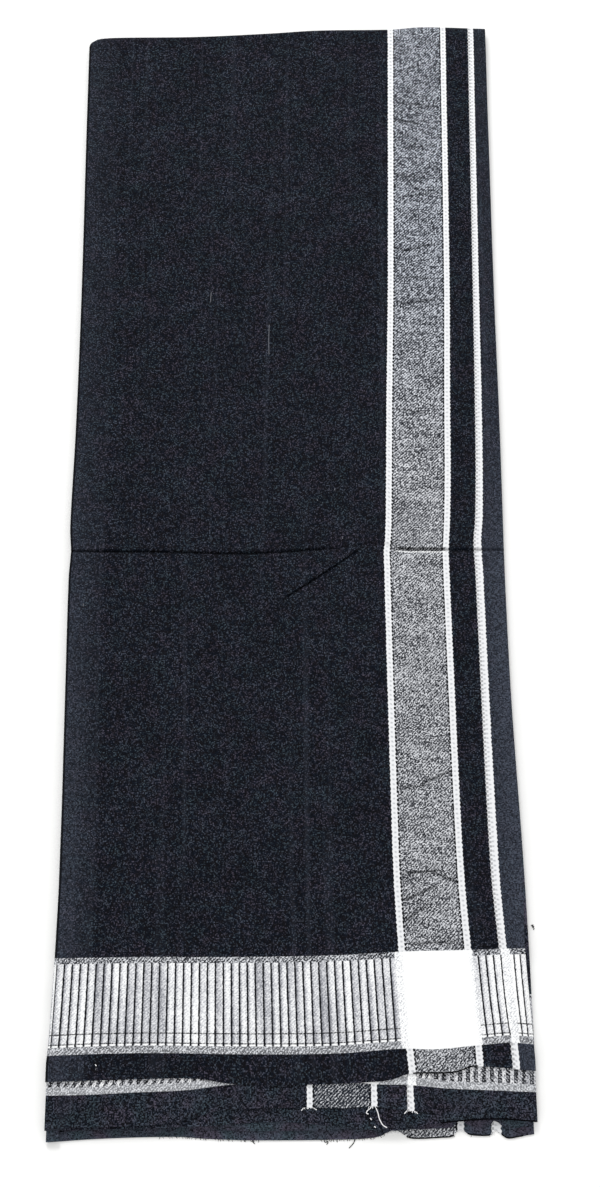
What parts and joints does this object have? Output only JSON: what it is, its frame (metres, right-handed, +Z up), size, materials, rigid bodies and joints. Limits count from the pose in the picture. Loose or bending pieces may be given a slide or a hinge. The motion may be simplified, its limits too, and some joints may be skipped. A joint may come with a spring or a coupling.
{
  "type": "folded lungi",
  "caption": "Black cotton lungi with woven silver borders, folded flat into a long narrow pack with its raw ends layered at one end.",
  "frame": {"origin": "middle of the pack's box in plan, at the face that it rests on", "axes": "+X across the pack towards the selvedge with the border, +Y along it towards the far fold, +Z up"},
  "size_m": [0.3458, 0.9224, 0.009],
  "materials": {
    "black_cotton": "fine plain weave, matt, with woven silver and white borders"
  },
  "bodies": {
    "root": {"front_panel": "black_cotton", "inner_fold_end": "black_cotton", "hidden_layers": "black_cotton", "back_panel": "black_cotton"}
  },
  "joints": []
}
